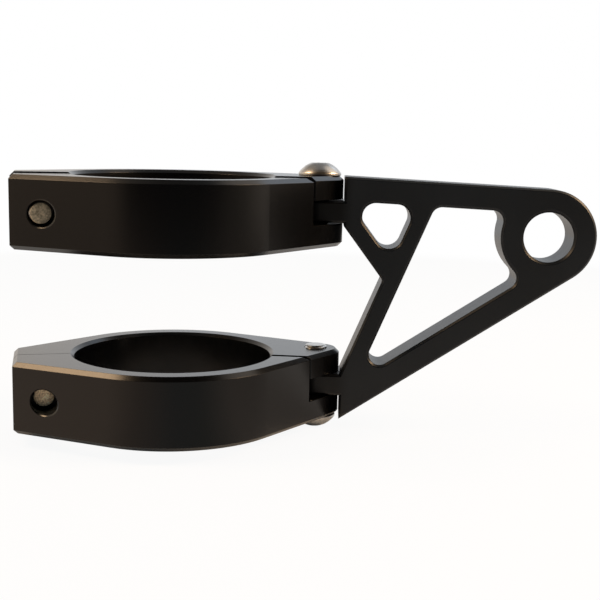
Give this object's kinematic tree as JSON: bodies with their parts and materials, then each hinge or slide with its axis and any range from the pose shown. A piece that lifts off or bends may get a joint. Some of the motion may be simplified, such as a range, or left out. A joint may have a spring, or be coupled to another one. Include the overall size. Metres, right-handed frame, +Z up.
{
  "type": "headlight mounting bracket",
  "caption": "Motorcycle headlight bracket: split fork clamps, one above the other, hinged by button head screws to an open triangular plate arm that ends in an eye for the headlight's bolt.",
  "frame": {"origin": "on the axis of the fork bores, level with the middle of the upper clamp and of the arm's upper tongue", "axes": "+Z up along the fork leg, +X from the bores' axis to the hinge, -Y towards the front clamp halves"},
  "size_m": [0.127, 0.0528, 0.0598],
  "materials": {
    "black_anodised": "black satin anodised",
    "stainless": "bright stainless steel"
  },
  "bodies": {
    "upper_clamp": {"upper_clamp_front_half": "black_anodised", "upper_clamp_rear_half": "black_anodised", "upper_clamp_screw": "stainless", "upper_hinge_screw": "stainless"},
    "arm": {"headlight_arm": "black_anodised"},
    "lower_clamp": {"lower_clamp_front_half": "black_anodised", "lower_clamp_rear_half": "black_anodised", "lower_clamp_screw": "stainless", "lower_hinge_screw": "stainless"}
  },
  "joints": [
    {"name": "arm_hinge", "type": "hinge", "parent": "upper_clamp", "child": "arm", "pos_m": [0.0326, 0, 0], "axis": [0, 0, 1], "range_deg": [-33, 63]},
    {"name": "lower_clamp_hinge", "type": "hinge", "parent": "arm", "child": "lower_clamp", "pos_m": [0.0326, 0, -0.0389], "axis": [0, 0, 1], "range_deg": [-63, 33]}
  ]
}
